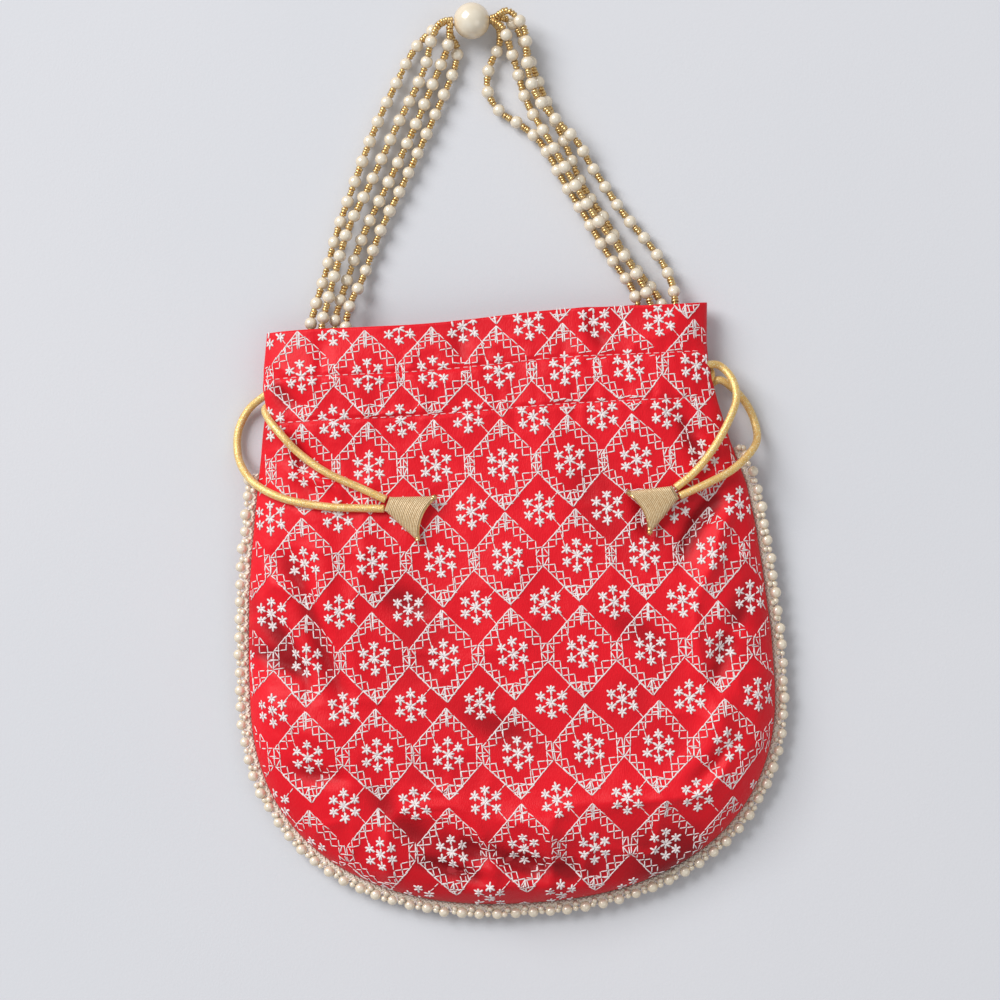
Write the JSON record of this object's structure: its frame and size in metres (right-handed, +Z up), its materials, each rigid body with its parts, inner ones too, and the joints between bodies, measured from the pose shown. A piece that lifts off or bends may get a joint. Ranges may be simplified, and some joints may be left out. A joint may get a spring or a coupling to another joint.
{
  "type": "potli bag",
  "caption": "Soft drawstring pouch of red embroidered satin with a pearl lace edge, gold drawcords with folded ribbon caps and a beaded pearl handle",
  "frame": {"origin": "middle of the base of the bag's body, which lies on its back", "axes": "+X across the bag, +Y from its bottom to its mouth and handle, +Z up from the table"},
  "size_m": [0.2146, 0.3509, 0.0242],
  "materials": {
    "embroidered_satin": "satin",
    "lining_cloth": "matte",
    "cream_braid": "matte",
    "ivory_pearl": "pearl",
    "pearl_strand": "pearl and gold",
    "gold_cord": "satin",
    "gold_ribbon": "metallic weave"
  },
  "bodies": {
    "root": {"outer_front": "embroidered_satin", "outer_back": "embroidered_satin", "lining_front": "lining_cloth", "lining_back": "lining_cloth", "lace_tape": "cream_braid", "lace_pearls": "ivory_pearl", "drawcord_left": "gold_cord", "drawcord_right": "gold_cord", "tassel_left": "gold_ribbon", "tassel_right": "gold_ribbon", "handle_pearl": "ivory_pearl", "handle_anchor_left": "cream_braid", "handle_anchor_right": "cream_braid", "strand_1": "pearl_strand", "strand_2": "pearl_strand", "strand_3": "pearl_strand", "strand_4": "pearl_strand"}
  },
  "joints": []
}
